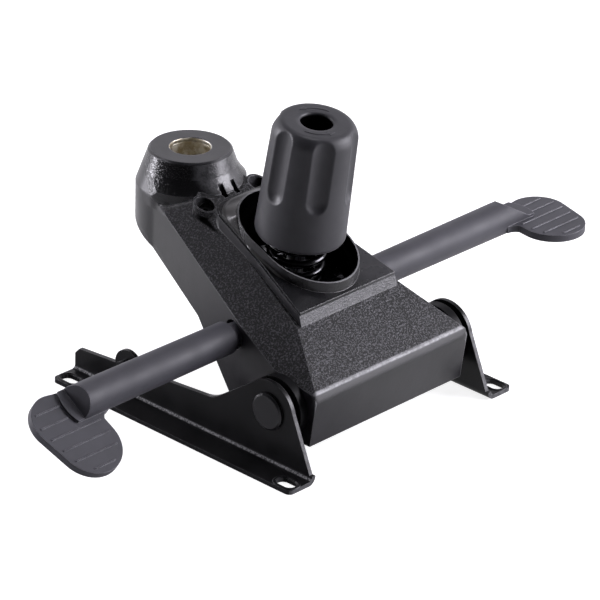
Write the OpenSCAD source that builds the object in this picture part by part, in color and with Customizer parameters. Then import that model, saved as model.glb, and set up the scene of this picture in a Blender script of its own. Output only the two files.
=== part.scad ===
// Office chair knee-tilt mechanism, lying upside down on its two seat flanges.
// Millimetres, +Z up, +Y to the rear, origin at the mouth of the gas lift socket.
// Turned over when in use.
// Sizes below are counted from the seat plane and from the middle of the seat slots.

/* [Seat brackets] */
// Thickness of the bracket sheet
sheet = 3; // [2:0.1:4]
// Clear width between the two bracket webs
web_gap = 167; // [163:1:175]
// Distance between seat slot centres, across and lengthways
slot_pitch = 200; // [194:1:206]
// Length of flange beyond a slot's centre
flange_end = 10; // [9:0.5:14]
// Width of flange beyond a slot's centre
flange_edge = 7.5; // [6.5:0.5:12]
// Inside radius of the fold between web and flange
bend_r = 3; // [2:0.5:4]
// Width of a seat slot
slot_width = 9; // [6:0.5:9.5]
// End to end length of a seat slot
slot_length = 15; // [12:1:17]
// Height of the web half way along the bracket
web_height = 27.6; // [24:0.2:30]
// Fall of the web's upper edge towards the rear, per unit length
web_fall = 0.085; // [0.05:0.005:0.12]
// Radius of the lobe around the pivot
lobe_r = 21.5; // [18:0.5:24]
// Slope of the ramp behind the lobe, degrees
ramp_angle = 35; // [28:1:45]
// Radius of the ear around the rear stud
ear_r = 11.5; // [9:0.5:13]

/* [Pivot] */
// Pivot axis, distance in front of the seat slot centre
pivot_front = 70; // [66:1:73]
// Pivot axis height above the seat plane
pivot_z = 38.5; // [36:0.5:41]
// Pivot shaft diameter
shaft_d = 16; // [12:1:18]
// Diameter of the round bush discs beside the casing
disc_d = 43; // [40:1:46]
// Diameter of the caps on the shaft's ends
cap_d = 25.5; // [22:0.5:30]
// Thickness of the caps
cap_t = 2.6; // [2.2:0.2:5]
// Diameter of the rear studs in the bracket ears
stud_d = 6; // [5:0.5:8]
// Rear studs, distance behind the seat slot centre
stud_y = 60; // [54:1:66]
// Rear studs, height above the seat plane
stud_z = 22.5; // [19:0.5:24]

/* [Casing] */
// Width of the casing at its front
casing_width = 145; // [140:1:150]
// Wall thickness of the casing
wall = 4; // [3:0.5:5]
// Height of the front upper edge above the seat plane
front_z = 53.5; // [50:0.5:57]
// Lower rim height at the front
rim_front_z = 16.4; // [13:0.2:19]
// Rise of the roof and cover towards the boss, per unit length
roof_rise = 0.4; // [0.36:0.01:0.43]
// Height of the step under the spring cover
step_h = 6.2; // [4:0.2:8]
// Pivoting lever axis height above the seat plane
lever_z = 65; // [63:0.5:67]
// Pivoting lever axis, distance in front of the seat slot centre
lever_front = 14; // [12:1:16]

/* [Gas lift boss] */
// Distance of the socket's axis behind the seat slot centre
boss_y = 90; // [86:1:94]
// Height of the boss face above the seat plane
boss_z = 146; // [142:1:150]
// Radius of the boss at its face
boss_r = 27; // [25:0.5:29]
// Radius of the boss where it meets the casing
boss_foot_r = 36.5; // [35:0.5:38.5]
// Diameter of the socket for the gas lift cone
socket_d = 28; // [26:0.5:30]
// Length of the straight part of the socket
socket_l = 14; // [10:1:18]
// Wall of the sleeve at its mouth
sleeve_wall = 3; // [2:0.5:4]

/* [Tension knob] */
// Diameter of the knob at its skirt
knob_d = 61; // [57:0.5:62]
// Diameter of the knob at its shoulder
knob_top_d = 56.8; // [50:0.2:58]
// Length of the knob
knob_l = 83.7; // [76:0.1:90]
// Number of grip flutes
flute_n = 6; // [4:1:8]
// Depth of a grip flute
flute_depth = 3.4; // [2:0.1:3.8]
// Forward lean of the knob and bolt, degrees
lean = 8.4; // [6:0.2:10]
// Tension bolt diameter
bolt_d = 12; // [10:0.5:12]

/* [Main spring] */
// Outside diameter of the coil
coil_d = 41; // [38:0.5:42]
// Wire diameter
wire_d = 5.5; // [4:0.1:6]
// Number of turns
turns = 7.5; // [6:0.5:8]

/* [Levers] */
// Diameter of the thin neck that carries a lever in the casing
neck_d = 15.5; // [15:0.5:18]
// Diameter of the lever tube
tube_d = 24; // [20:0.5:26]
// Distance of the lock lever's tip from the middle of the chair
lock_reach = 242; // [225:0.5:260]
// Distance of the height lever's tip from the middle of the chair
height_reach = 253; // [225:0.5:260]
// Length of the paddle along the lever
paddle_w = 50; // [46:0.5:56]
// Forward reach of the paddle from the lever's axis
paddle_l = 50; // [45:1:54]
// Thickness of the paddle
paddle_t = 5; // [4:0.5:7]
// Downward turn of the lock lever's paddle as photographed, degrees
lock_turn = 34; // [28:1:38]
// Upward turn of the height lever's paddle as photographed, degrees
height_turn = 0; // [0:1:6]
// Lever spindle diameter
spindle_d = 11; // [9:0.5:12]

/* [Hidden] */

$fn = 72;
fit = 0.05;
gap = 0.3;
far = 400;

// Bracket outline
pivot_y = -pivot_front;
lever_y = -lever_front;
web_in = web_gap / 2;
web_out = web_in + sheet;
flange_out = slot_pitch / 2 + flange_edge;
half_l = slot_pitch / 2 + flange_end;
front_foot = [-half_l, 0];
lobe_c = [pivot_y, pivot_z];
bite_r = lobe_r * 0.985;
foot_d = norm(lobe_c - front_foot);
foot_a = atan2(pivot_z, pivot_y + half_l) + asin(bite_r / foot_d);
foot_t = sqrt(foot_d * foot_d - bite_r * bite_r);
lobe_front = front_foot + foot_t * [cos(foot_a), sin(foot_a)];
ramp_top = lobe_c + bite_r * [sin(ramp_angle), cos(ramp_angle)];
ramp_y = (ramp_top[1] + ramp_top[0] * tan(ramp_angle) - web_height) / (tan(ramp_angle) - web_fall);
corner = 4;
disc_t = 6.5;

// Casing outline
front_y = -98.3;
front_lean = 0.13;
front_chamfer = 4.4;
slope_top_y = -58.8;
slope_top_z = 80.7;
rim_foot_y = -15;
rim_knee = [30, 59];
rim_slope = 0.433;
half_w = casing_width / 2;
waist = [half_w - 8, -22];
shoulder_y = -60;
bevel_point = [-50.5, -11.4, 89];
bevel_tilt = 41.4;
bevel_yaw = 12.9;
cavity_rear = 58;
pocket_r = boss_foot_r - 8;
pocket_h = 24;
flare_base = 8;
cone_z = 121.5;
face_chamfer = 1.5;
flare_bend = 40;
flare_top = 12;
flare_foot = 42.2;
flare_run = 50;

// Roof screws
screw_x = 25;
screw_y = 51;
screw_floor = 116;
screw_l = 11;
pad_around = 8;
vent_x = 3.5;
vent_y = 49.5;
vent_w = 4;
vent_l = 7.5;
vent_h = 14;

// Spring cover
cover_t = 2;
cover_inset = 0.8;
cover_front_y = -56;
cover_rear_y = 41;
cover_front_w = 46;
cover_mid = [36, -8];
cover_rear_w = 31;
cover_corner = 12;
oval_r = 32;
oval_front = -20;
oval_rear = -2;
collar_h = 7;
collar_wall = 2;
lip_gap = 2;
lip_depth = 17;

// Knob, bolt and rocker along the bolt's axis, s = 0 at the knob's skirt
knob_y = -12.2;
knob_z = 118.6;
axis_y = -sin(lean);
axis_z = cos(lean);
arm_y = knob_y - pivot_y;
arm_z = knob_z - pivot_z;
bolt_arm = arm_y * cos(lean) + arm_z * sin(lean);
plate_s = arm_y * sin(lean) - arm_z * cos(lean);
plate_t = 8;
plate_w = 44;
plate_l = bolt_arm + 23;
hub_r = shaft_d / 2 + 6;
slot_back = 5;
slot_fore = 1.5;
seat_t = 3;
seat_lip = 3;
lip_wall = 1.3;
cup_s = 12;
cup_t = 5;
cup_r = coil_d / 2 + 1;
skirt_r = cup_r + 1;
nut_s = cup_s + cup_t + 7;
nut_t = 10;
nut_r = bolt_d * 0.9;
well_r = 11;
flute_phase = -3.8;
flute_r = 12;
flute_s = 38.5;
flute_rise = 0.2;
coil_r = (coil_d - wire_d) / 2;
ring_n = 8;
ring_sides = 6;
lip_r = coil_r * cos(180 / ring_n) - wire_d / 2 - 0.5;
spring_s = plate_s + plate_t / 2 + seat_t + gap;
spring_l = cup_s - gap - spring_s;
bar_s = plate_s - plate_t / 2 - 2.2;
bar_t = 7;
bar_w = 16;
head_t = 6;
head_r = bolt_d * 0.75;
stop_r = 4.7;
stop_end_r = 3;
blind_x = 1.4;
stop_y = -15;
stop_z = pivot_z + (stop_y - pivot_y) * tan(lean) - (plate_t / 2 + stop_r + 0.4) / cos(lean);

// Levers and valve finger
tube_r = tube_d / 2;
root_r = tube_r - 0.8;
tube_root = plan_x(lever_y) + 3.8;
tube_in = 42;
tube_end = 28;
bush_r = neck_d / 2 + 2.2;
pad_r = bush_r + 3;
pad_x = tube_in;
bush_in = tube_in + 1;
flat_n = 0.6;
flat_l = 8;
tongue_r = 26;
ridge_y = 3;
ridge_pitch = 9.6;
ridge_w = 0.9;
ridge_h = 0.6;
paddle_n = -1.5;
spindle_r = spindle_d / 2;
spindle_in = 27;
spindle_out = 150;
crank_x = 28;
crank_w = 10;
crank_hub_r = spindle_r + 2.2;
crank_dy = -26;
peg_r = 4;
finger_t = 6;
finger_h = 12;
finger_y = 45;
finger_z = rim_z(finger_y) + finger_h;
finger_lift = finger_t / cos(atan(rim_slope)) / 2;
crank_gap = 0.5;
peg_drop = (peg_r + crank_gap) / cos(atan(rim_slope));
crank_dz = rim_z(lever_y + crank_dy) + finger_h + finger_lift + peg_drop - lever_z;
finger_front = -44;
finger_rear = boss_y + 8;
finger_pin_r = 3;
finger_hub_r = 6.5;

// The origin is the centre of the socket's mouth
mouth_depth = 3;
mouth_z = boss_z - mouth_depth;

function rim_z(y) = rim_knee[1] + rim_slope * (y - rim_knee[0]);
function roof_z(y) = slope_top_z + roof_rise * (y - slope_top_y);
function plan_x(y) = waist[0] + (boss_foot_r - waist[0]) * (y - waist[1]) / (boss_y - 2 - waist[1]);

module along_x(x0, x1) {
    translate([x0, 0, 0])
        rotate([90, 0, 90])
            linear_extrude(height = x1 - x0)
                children();
}

module x_rod(x0, x1, y, z, r) {
    translate([x0, y, z])
        rotate([0, 90, 0])
            cylinder(h = x1 - x0, r = r);
}

module both_sides() {
    children();
    mirror([1, 0, 0])
        children();
}

module on_bolt(s) {
    translate([0, knob_y + axis_y * s, knob_z + axis_z * s])
        rotate([lean, 0, 0])
            children();
}

// Seat frame
module web_outline() {
    polygon([front_foot, lobe_front, lobe_c, ramp_top, [ramp_y, web_height - web_fall * ramp_y],
        [half_l - corner, web_height - web_fall * (half_l - corner)],
        [half_l, web_height - web_fall * half_l - corner], [half_l, 0]]);
    translate(lobe_c)
        circle(r = lobe_r);
    translate([stud_y, stud_z])
        circle(r = ear_r);
}

// Bent sheet seen from its end
module sheet_profile() {
    outer_r = bend_r + sheet;
    translate([web_in, outer_r])
        square([sheet, web_height + 2 * lobe_r]);
    translate([web_in + outer_r, 0])
        square([flange_out - web_in - outer_r, sheet]);
    intersection() {
        translate([web_in + outer_r, outer_r])
            difference() {
                circle(r = outer_r);
                circle(r = bend_r);
            }
        translate([web_in, 0])
            square(outer_r);
    }
}

module flange_outline() {
    translate([web_in, -half_l])
        square([flange_out - corner - web_in, 2 * half_l]);
    translate([web_in, corner - half_l])
        square([flange_out - web_in, 2 * (half_l - corner)]);
    for (side = [-1, 1])
        translate([flange_out - corner, side * (half_l - corner)])
            circle(r = corner);
}

module seat_slot(y) {
    run = (slot_length - slot_width) / 2;
    for (d = [-run, run])
        translate([slot_pitch / 2, y + d, -1])
            cylinder(h = sheet + 2, d = slot_width);
    translate([slot_pitch / 2 - slot_width / 2, y - run, -1])
        cube([slot_width, 2 * run, sheet + 2]);
}

module bracket() {
    difference() {
        intersection() {
            translate([0, half_l, 0])
                rotate([90, 0, 0])
                    linear_extrude(height = 2 * half_l)
                        sheet_profile();
            union() {
                along_x(web_in - 1, web_out + bend_r)
                    web_outline();
                translate([0, 0, -1])
                    linear_extrude(height = sheet + bend_r + 1)
                        flange_outline();
            }
        }
        x_rod(web_in - 1, web_out + 1, pivot_y, pivot_z, shaft_d / 2 + fit);
        x_rod(web_in - 1, web_out + 1, stud_y, stud_z, stud_d / 2 + fit);
        for (side = [-1, 1])
            seat_slot(side * slot_pitch / 2);
    }
}

module left_bracket() {
    color([0.06, 0.06, 0.065])
        mirror([1, 0, 0])
            bracket();
}

module right_bracket() {
    color([0.06, 0.06, 0.065])
        bracket();
}

module pivot_shaft() {
    color([0.5, 0.5, 0.52])
        difference() {
            x_rod(-web_out - cap_t / 2, web_out + cap_t / 2, pivot_y, pivot_z, shaft_d / 2);
            key_hole(fit);
        }
}

module pivot_caps() {
    color([0.07, 0.07, 0.075])
        both_sides()
            translate([web_out, pivot_y, pivot_z])
                rotate([0, 90, 0])
                    difference() {
                        union() {
                            cylinder(h = cap_t - 1, d = cap_d);
                            translate([0, 0, cap_t - 1])
                                cylinder(h = 1, d1 = cap_d, d2 = cap_d - 3);
                        }
                        translate([0, 0, -1])
                            cylinder(h = cap_t / 2 + 1 + fit, r = shaft_d / 2 + fit);
                    }
}

module rear_studs() {
    color([0.45, 0.45, 0.47])
        both_sides() {
            x_rod(web_in - 1, web_out + stud_d, stud_y, stud_z, stud_d / 2);
            x_rod(web_in - 1.6, web_in, stud_y, stud_z, stud_d);
        }
}

module stud_nuts() {
    color([0.3, 0.3, 0.31])
        both_sides()
            difference() {
                x_rod(web_out, web_out + stud_d * 0.83, stud_y, stud_z, stud_d * 0.96, $fn = 6);
                x_rod(web_out - 1, web_out + 2 * stud_d, stud_y, stud_z, stud_d / 2 + fit);
            }
}

module key_hole(extra) {
    translate([0, pivot_y, pivot_z])
        rotate([lean, 0, 0])
            translate([0, 0, -hub_r])
                cylinder(h = 2 * hub_r, r = 2.5 + extra);
}

module key_pin() {
    color([0.5, 0.5, 0.52])
        translate([0, pivot_y, pivot_z])
            rotate([lean, 0, 0])
                translate([0, 0, -hub_r + 1])
                    cylinder(h = 2 * hub_r - 2, r = 2.5);
}

module rocker_arm() {
    slot_r = bolt_d / 2 + 0.8;
    color([0.2, 0.2, 0.21])
        difference() {
            translate([0, pivot_y, pivot_z])
                rotate([lean, 0, 0])
                    difference() {
                        union() {
                            rotate([0, 90, 0])
                                translate([0, 0, -plate_w / 2])
                                    cylinder(h = plate_w, r = hub_r);
                            translate([-plate_w / 2, 0, -plate_t / 2])
                                cube([plate_w, plate_l, plate_t]);
                        }
                        translate([-slot_r, bolt_arm - bolt_d / 2 - slot_fore, -plate_t])
                            cube([2 * slot_r, bolt_d + slot_fore + slot_back, 2 * plate_t]);
                    }
            x_rod(-plate_w, plate_w, pivot_y, pivot_z, shaft_d / 2 + fit);
            key_hole(fit);
        }
}

module spring_seat() {
    color([0.3, 0.3, 0.31])
        on_bolt(plate_s + plate_t / 2)
            difference() {
                union() {
                    cylinder(h = seat_t, r = coil_d / 2 + 1);
                    cylinder(h = seat_t + seat_lip, r = lip_r);
                }
                translate([0, 0, -1])
                    cylinder(h = seat_t + seat_lip + 2, r = lip_r - lip_wall);
            }
}

// Casing
module block_profile() {
    polygon([[front_y + front_lean * (front_z + 60), -60], [front_y, front_z - front_chamfer],
        [front_y + 2.2, front_z + 1.4], [slope_top_y, slope_top_z], [boss_y - 2, roof_z(boss_y - 2)],
        [boss_y - 2, -60]]);
}

module block_plan() {
    polygon([[-half_w, -150], [-half_w, shoulder_y], [-waist[0], waist[1]], [-boss_foot_r, boss_y - 2],
        [boss_foot_r, boss_y - 2], [waist[0], waist[1]], [half_w, shoulder_y], [half_w, -150]]);
}

module bevel_cut(inset) {
    translate(bevel_point)
        rotate([0, -bevel_tilt, bevel_yaw])
            translate([-far / 2, -far / 2, -inset])
                cube([far, far, far]);
}

module casing_block(inset) {
    difference() {
        intersection() {
            along_x(-far / 2, far / 2)
                offset(delta = -inset)
                    block_profile();
            translate([0, 0, -60])
                linear_extrude(height = far)
                    offset(delta = -inset)
                        block_plan();
        }
        bevel_cut(inset);
        mirror([1, 0, 0])
            bevel_cut(inset);
    }
}

module boss_solid() {
    translate([0, boss_y, 0]) {
        cylinder(h = cone_z, r = boss_foot_r);
        translate([0, 0, cone_z])
            cylinder(h = boss_z - face_chamfer - cone_z, r1 = boss_foot_r, r2 = boss_r + face_chamfer);
        translate([0, 0, boss_z - face_chamfer])
            cylinder(h = face_chamfer, r1 = boss_r + face_chamfer, r2 = boss_r);
    }
}

// Concave flank in front of the boss, cut off at the sides by the drafted walls
module boss_flare() {
    top_r = boss_r + face_chamfer;
    top_z = boss_z - face_chamfer;
    flare_r = top_r + flare_bend * (cos(flare_top) - cos(flare_foot));
    flare_z = top_z - flare_bend * (sin(flare_foot) - sin(flare_top));
    draft = boss_foot_r - top_r;
    intersection() {
        translate([0, boss_y, 0])
            rotate_extrude()
                difference() {
                    polygon([[0, cone_z - flare_base], [flare_r, cone_z - flare_base],
                        [flare_r, flare_z], [top_r, top_z], [0, top_z]]);
                    translate([top_r + flare_bend * cos(flare_top), top_z + flare_bend * sin(flare_top)])
                        circle(r = flare_bend);
                }
        hull()
            for (y = [boss_y, boss_y - flare_run]) {
                wall_r = plan_x(min(y, boss_y - 2));
                translate([0, y, cone_z - flare_base])
                    cylinder(h = flare_base, r = wall_r);
                translate([0, y, cone_z])
                    cylinder(h = top_z - cone_z, r1 = wall_r, r2 = wall_r - draft);
            }
    }
}

module screw_pads() {
    intersection() {
        both_sides()
            translate([screw_x, screw_y, 0])
                cylinder(h = far, r = pad_around);
        sloped(-20, 0);
    }
}

module cover_plan(inset) {
    corner_c = [cover_rear_w - cover_corner, cover_rear_y - cover_corner];
    bend = [for (a = [0 : 15 : 90]) corner_c + (cover_corner - inset) * [cos(a), sin(a)]];
    right = concat([[cover_front_w - inset, cover_front_y - 3 + 3 * inset],
        [cover_mid[0] - inset, cover_mid[1]]], bend);
    left = [for (i = [len(right) - 1 : -1 : 0]) [-right[i][0], right[i][1]]];
    polygon(concat(right, left));
}

module sloped(z0, z1) {
    lift = slope_top_z - roof_rise * slope_top_y;
    along_x(-far / 2, far / 2)
        polygon([[-150, lift + z0 - 150 * roof_rise], [150, lift + z0 + 150 * roof_rise],
            [150, lift + z1 + 150 * roof_rise], [-150, lift + z1 - 150 * roof_rise]]);
}

module pedestal() {
    intersection() {
        linear_extrude(height = far)
            cover_plan(0);
        along_x(-far / 2, far / 2)
            polygon([[slope_top_y, slope_top_z - 12], [slope_top_y, slope_top_z],
                [cover_front_y, roof_z(cover_front_y) + step_h],
                [cover_rear_y, roof_z(cover_rear_y) + step_h], [cover_rear_y, slope_top_z - 12]]);
    }
}

module oval(r) {
    for (y = [oval_front, oval_rear])
        translate([0, y])
            circle(r = r);
    translate([-r, oval_front])
        square([2 * r, oval_rear - oval_front]);
}

module above_rim() {
    along_x(-far / 2, far / 2)
        polygon([[-150, rim_front_z], [rim_foot_y, rim_front_z], rim_knee, [150, rim_z(150)],
            [150, far], [-150, far]]);
}

module rear_pocket() {
    intersection() {
        along_x(-far / 2, far / 2)
            polygon([[cavity_rear - 6, -60], [cavity_rear - 6, rim_z(cavity_rear - 6) + pocket_h],
                [150, rim_z(150) + pocket_h], [150, -60]]);
        translate([0, 0, -60])
            linear_extrude(height = far)
                union() {
                    translate([0, boss_y])
                        circle(r = pocket_r);
                    polygon([[-plan_x(cavity_rear - 6) + 2 * wall, cavity_rear - 6],
                        [-pocket_r + 1, boss_y], [pocket_r - 1, boss_y],
                        [plan_x(cavity_rear - 6) - 2 * wall, cavity_rear - 6]]);
                }
    }
}

module casing() {
    color([0.055, 0.055, 0.06])
        difference() {
            union() {
                difference() {
                    intersection() {
                        union() {
                            casing_block(0);
                            boss_solid();
                            boss_flare();
                            screw_pads();
                            pedestal();
                        }
                        above_rim();
                    }
                    difference() {
                        casing_block(wall);
                        translate([-far / 2, cavity_rear, -60])
                            cube([far, far, far]);
                    }
                    rear_pocket();
                }
                intersection() {
                    both_sides()
                        x_rod(pad_x, plan_x(lever_y), lever_y, lever_z, pad_r);
                    casing_block(wall / 2);
                }
            }
            linear_extrude(height = far)
                oval(oval_r - lip_gap);
            translate([0, boss_y, rim_z(boss_y)])
                cylinder(h = mouth_z - rim_z(boss_y), r = socket_d / 2 + sleeve_wall + fit);
            translate([0, boss_y, mouth_z - 1])
                cylinder(h = mouth_depth + 2, r = socket_d / 2 + 0.5);
            x_rod(-far / 2, far / 2, pivot_y, pivot_z, shaft_d / 2 + 3 + fit);
            x_rod(-far / 2, far / 2, lever_y, lever_z, bush_r + fit);
            x_rod(0.8 - plan_x(stop_y) + blind_x - gap, far / 2, stop_y, stop_z, stop_end_r + fit);
            x_rod(0, far / 2, finger_y, finger_z, finger_pin_r + fit);
            both_sides()
                translate([screw_x, screw_y, screw_floor]) {
                    cylinder(h = 40, r = 6.5);
                    translate([0, 0, -screw_l - 1])
                        cylinder(h = screw_l + 2, r = 2.5 + fit);
                }
            both_sides()
                translate([vent_x, vent_y, roof_z(vent_y) - vent_h / 2])
                    cube([vent_w, vent_l, vent_h]);
        }
}

module cone_sleeve() {
    sleeve_z = rim_z(boss_y) + pocket_h;
    color([0.72, 0.6, 0.38])
        translate([0, boss_y, 0])
            difference() {
                translate([0, 0, sleeve_z])
                    cylinder(h = mouth_z - sleeve_z, r = socket_d / 2 + sleeve_wall);
                translate([0, 0, mouth_z - socket_l])
                    cylinder(h = socket_l + 1, d = socket_d);
                translate([0, 0, sleeve_z - 1])
                    cylinder(h = mouth_z - socket_l - sleeve_z + 2,
                        d1 = socket_d - 2.4, d2 = socket_d - 0.8);
            }
}

module pivot_bushes() {
    color([0.09, 0.09, 0.095])
        both_sides()
            difference() {
                union() {
                    x_rod(half_w, half_w + disc_t, pivot_y, pivot_z, disc_d / 2);
                    x_rod(half_w, web_in - gap, pivot_y, pivot_z, disc_d / 2 - 4.5);
                    x_rod(half_w - wall - 3, half_w + 1, pivot_y, pivot_z, shaft_d / 2 + 3);
                }
                x_rod(half_w - wall - 4, web_in + 1, pivot_y, pivot_z, shaft_d / 2 + fit);
            }
}

module spring_cover() {
    color([0.05, 0.05, 0.055])
        difference() {
            union() {
                intersection() {
                    linear_extrude(height = far)
                        cover_plan(cover_inset);
                    sloped(step_h, step_h + cover_t);
                }
                intersection() {
                    linear_extrude(height = far)
                        oval(oval_r + collar_wall);
                    sloped(step_h + cover_t / 2, step_h + cover_t + collar_h);
                }
                intersection() {
                    linear_extrude(height = far)
                        oval(oval_r - lip_gap - fit);
                    sloped(step_h - lip_depth, step_h + cover_t / 2);
                }
            }
            intersection() {
                linear_extrude(height = far)
                    oval(oval_r);
                sloped(step_h + cover_t / 2, far);
            }
            linear_extrude(height = far)
                oval(oval_r - lip_gap - 2);
        }
}

module roof_screws() {
    color([0.2, 0.2, 0.21])
        both_sides()
            translate([screw_x, screw_y, screw_floor]) {
                difference() {
                    cylinder(h = 4, r = 5);
                    translate([0, 0, 1.5])
                        cylinder(h = 4, r = 2.6, $fn = 6);
                }
                translate([0, 0, -screw_l])
                    cylinder(h = screw_l + 1, r = 2.5);
            }
}

module anchor_bar() {
    color([0.18, 0.18, 0.19])
        difference() {
            intersection() {
                on_bolt(bar_s - bar_t)
                    translate([-far / 4, -bar_w / 2, 0])
                        cube([far / 2, bar_w, bar_t]);
                casing_block(wall + fit);
            }
            on_bolt(bar_s - bar_t - 1)
                cylinder(h = bar_t + 2, r = bolt_d / 2 + fit);
        }
}

module tension_bolt() {
    color([0.5, 0.5, 0.52]) {
        on_bolt(bar_s - bar_t - 1)
            cylinder(h = nut_s + nut_t + 13 - bar_s + bar_t, r = bolt_d / 2);
        on_bolt(bar_s - bar_t - head_t)
            cylinder(h = head_t, r = head_r, $fn = 6);
    }
}

module lever_bushes() {
    color([0.12, 0.12, 0.13])
        both_sides()
            difference() {
                x_rod(bush_in, plan_x(lever_y + bush_r) - wall - 1, lever_y, lever_z, bush_r);
                x_rod(0, far / 4, lever_y, lever_z, neck_d / 2 + fit);
            }
}

module stop_rod() {
    stop_x = plan_x(stop_y) - 0.8;
    stop_mid = plate_w / 2 + 2;
    color([0.45, 0.45, 0.47]) {
        x_rod(blind_x - stop_x, stop_x, stop_y, stop_z, stop_end_r);
        x_rod(-stop_mid, stop_mid, stop_y, stop_z, stop_r);
    }
}

module finger_pin() {
    color([0.5, 0.5, 0.52])
        x_rod(crank_x - 2, plan_x(finger_y) - 0.8, finger_y, finger_z, finger_pin_r);
}

// Main spring, one helical tube
rings = round(turns * ring_n);
coil_rise = spring_l - wire_d;

function coil_at(i) = [coil_r * cos(360 * i / ring_n), coil_r * sin(360 * i / ring_n),
    wire_d / 2 + coil_rise * i / rings];
function coil_dir(i) = let (a = 360 * i / ring_n,
        v = [-sin(a), cos(a), coil_rise / rings * ring_n / (2 * PI * coil_r)])
    v / norm(v);
function ring_point(i, j) = let (a = 360 * i / ring_n, b = 360 * j / ring_sides,
        out = [cos(a), sin(a), 0],
        up = cross(out, coil_dir(i)) * -1)
    coil_at(i) + wire_d / 2 * (cos(b) * out + sin(b) * up);

coil_gap = min([for (i = [0 : rings - ring_n]) norm(coil_at(i + ring_n) - coil_at(i))]) - wire_d;
echo(str("least gap between turns ", coil_gap));

module tension_spring() {
    points = [for (i = [0 : rings]) for (j = [0 : ring_sides - 1]) ring_point(i, j)];
    skin = [for (i = [0 : rings - 1]) for (j = [0 : ring_sides - 1]) let (k = (j + 1) % ring_sides)
        [i * ring_sides + j, i * ring_sides + k, (i + 1) * ring_sides + k, (i + 1) * ring_sides + j]];
    ends = [[for (j = [ring_sides - 1 : -1 : 0]) j],
        [for (j = [0 : ring_sides - 1]) rings * ring_sides + j]];
    color([0.6, 0.6, 0.62])
        on_bolt(spring_s)
            polyhedron(points = points, faces = concat(skin, ends), convexity = 10);
}

// Knob
module thrust_cup() {
    color([0.3, 0.3, 0.31])
        on_bolt(cup_s - seat_lip)
            difference() {
                union() {
                    translate([0, 0, seat_lip])
                        cylinder(h = cup_t, r = cup_r);
                    cylinder(h = seat_lip + 1, r = lip_r);
                }
                translate([0, 0, -1])
                    cylinder(h = seat_lip + cup_t + 2, r = bolt_d / 2 + fit);
            }
}

module knob_body() {
    knob_r = knob_d / 2;
    top_r = knob_top_d / 2;
    rotate_extrude()
        polygon([[0, 0], [knob_r - 0.8, 0], [knob_r, 1.2], [top_r, knob_l - 8.6],
            [top_r - 0.5, knob_l - 6.2], [top_r - 2, knob_l - 3.2], [top_r - 4.1, knob_l - 0.8],
            [top_r - 5.8, knob_l], [0, knob_l]]);
}

// Grip flute with a round lower end, shallower towards the skirt
module flute() {
    draft = atan((knob_d - knob_top_d) / 2 / (knob_l - 10));
    base_r = knob_d / 2 - flute_s * tan(draft) + flute_r - flute_depth + flute_rise;
    translate([base_r, 0, flute_s])
        rotate([0, -draft - atan(flute_rise / (knob_l - flute_s)), 0]) {
            cylinder(h = knob_l, r = flute_r);
            sphere(r = flute_r);
        }
}

module tension_knob() {
    color([0.09, 0.09, 0.1])
        on_bolt(0)
            difference() {
                knob_body();
                for (i = [0 : flute_n - 1])
                    rotate([0, 0, i * 360 / flute_n + flute_phase])
                        flute();
                translate([0, 0, -1])
                    cylinder(h = cup_s + cup_t + gap + 1, r = skirt_r);
                cylinder(h = knob_l, r = bolt_d / 2 + 0.4);
                translate([0, 0, nut_s])
                    cylinder(h = nut_t + 1, r = nut_r + fit, $fn = 6);
                translate([0, 0, nut_s + nut_t])
                    cylinder(h = knob_l, r = well_r);
            }
}

module knob_nut() {
    color([0.5, 0.5, 0.52])
        on_bolt(nut_s)
            difference() {
                cylinder(h = nut_t, r = nut_r, $fn = 6);
                translate([0, 0, -1])
                    cylinder(h = nut_t + 2, r = bolt_d / 2 + fit);
            }
}

// Levers
module on_lever(turn) {
    translate([0, lever_y, lever_z])
        rotate([turn, 0, 0])
            children();
}

module paddle_outline(reach, inset) {
    tip_r = 20;
    nose_r = 23;
    root_x = reach - paddle_w;
    neck_r = 8;
    hull() {
        translate([reach - tip_r, -6.5])
            circle(r = tip_r - inset);
        translate([root_x + nose_r - 2, nose_r - paddle_l])
            circle(r = nose_r - inset);
        translate([root_x + tube_r, 0])
            circle(r = tube_r - 1 - inset);
    }
    difference() {
        translate([root_x - neck_r, -tube_r - neck_r])
            square([neck_r + 4, neck_r + 6]);
        translate([root_x - neck_r, -tube_r - neck_r])
            circle(r = neck_r + inset);
    }
}

module handle(reach, cut_l) {
    tube_out = reach - tube_end;
    difference() {
        union() {
            x_rod(tube_in, tube_root + 2, 0, 0, neck_d / 2);
            translate([tube_root, 0, 0])
                rotate([0, 90, 0])
                    rotate_extrude()
                        polygon([[0, 0], [root_r - 4.5, 0], [root_r - 1.6, 1.2], [root_r, 4],
                            [tube_r, tube_out - tube_root], [0, tube_out - tube_root]]);
            translate([0, 0, paddle_n - paddle_t])
                linear_extrude(height = paddle_t)
                    paddle_outline(reach, 0);
            intersection() {
                translate([0, 0, paddle_n - 1])
                    linear_extrude(height = 1 + ridge_h)
                        paddle_outline(reach, 3.5);
                for (i = [0 : 5])
                    translate([reach - paddle_w, ridge_y - ridge_pitch * i, paddle_n - 1])
                        cube([paddle_w, ridge_w, 1 + ridge_h]);
            }
        }
        translate([0, 2 * tube_r, 0])
            rotate([90, 0, 0])
                linear_extrude(height = 4 * tube_r)
                    polygon([[tube_out - cut_l, tube_r + 1], [tube_out - flat_l, flat_n],
                        [reach, flat_n], [reach, tube_r + 1]]);
        difference() {
            translate([tube_out - flat_l, -tube_r - 1, paddle_n])
                cube([flat_l + 1, 2 * tube_r + 2, flat_n - paddle_n + ridge_h + 1]);
            translate([tube_out - tongue_r, 0, paddle_n - 1])
                cylinder(h = 2 * tube_r, r = tongue_r);
            translate([tube_out - flat_l, -tube_r - 2, paddle_n - 1])
                cube([2, 2 * tube_r + 4, 2 * tube_r]);
        }
        x_rod(tube_in - 1, spindle_out, 0, 0, spindle_r + fit);
    }
}

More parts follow.
